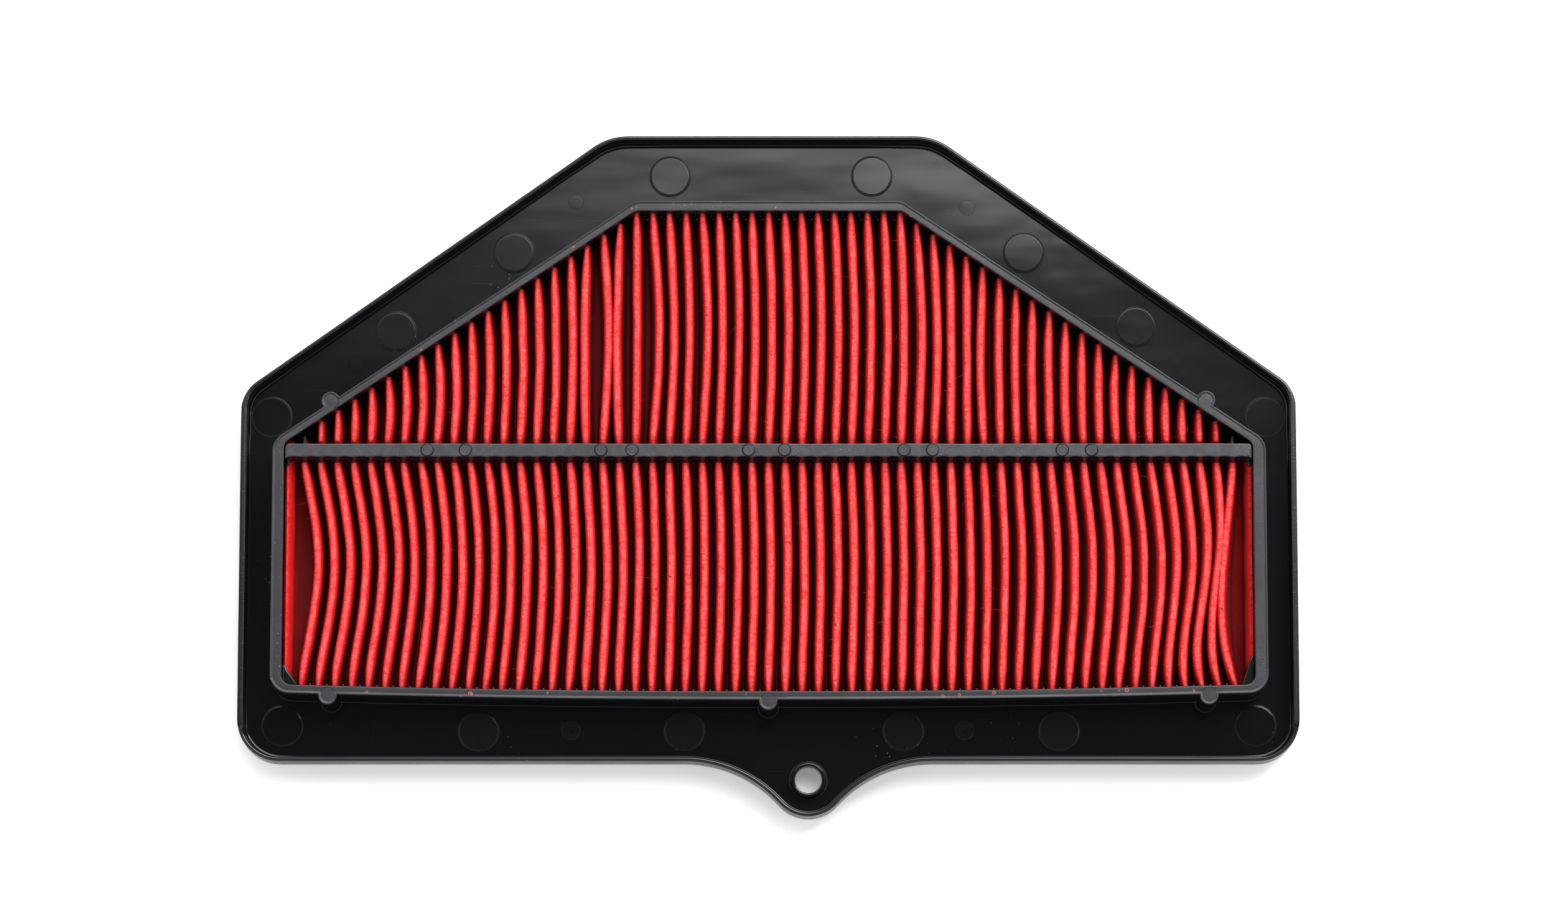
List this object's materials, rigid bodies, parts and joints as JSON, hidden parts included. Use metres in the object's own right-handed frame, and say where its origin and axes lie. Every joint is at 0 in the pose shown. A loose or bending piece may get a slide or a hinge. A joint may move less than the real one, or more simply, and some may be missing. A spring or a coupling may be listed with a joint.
{
  "type": "motorcycle air filter",
  "caption": "Flat panel air filter: a moulded tray frame with an upstanding rim, a tall wall round pleated red media, a comb bar across it and one screw tab.",
  "frame": {"origin": "middle of the bounding box in X and Y, on the gasket's underside, which is the sealing plane", "axes": "+X along the filter's long side, +Y from the screw tab's edge to the rear edge, +Z out of the sealing plane to the dirty side, where the pleats' tips show"},
  "size_m": [0.29, 0.189, 0.021],
  "materials": {
    "frame_plastic": "injection-moulded black, glossy, with a matt grey moulded strip on top of the opening wall",
    "bar_plastic": "matt moulded grey-black with ejector marks",
    "filter_media": "thick red non-woven felt, slightly oily sheen",
    "comb_plastic": "black, glossy",
    "adhesive": "cast amber adhesive",
    "grille_plastic": "matt moulded black",
    "gasket_rubber": "closed-cell foam rubber, dull"
  },
  "bodies": {
    "root": {"flange_frame": "frame_plastic", "cross_bar": "bar_plastic", "pleated_media": "filter_media", "front_comb": "comb_plastic", "rear_comb": "comb_plastic", "adhesive_bead": "adhesive", "support_grille": "grille_plastic", "sealing_gasket": "gasket_rubber"}
  },
  "joints": []
}
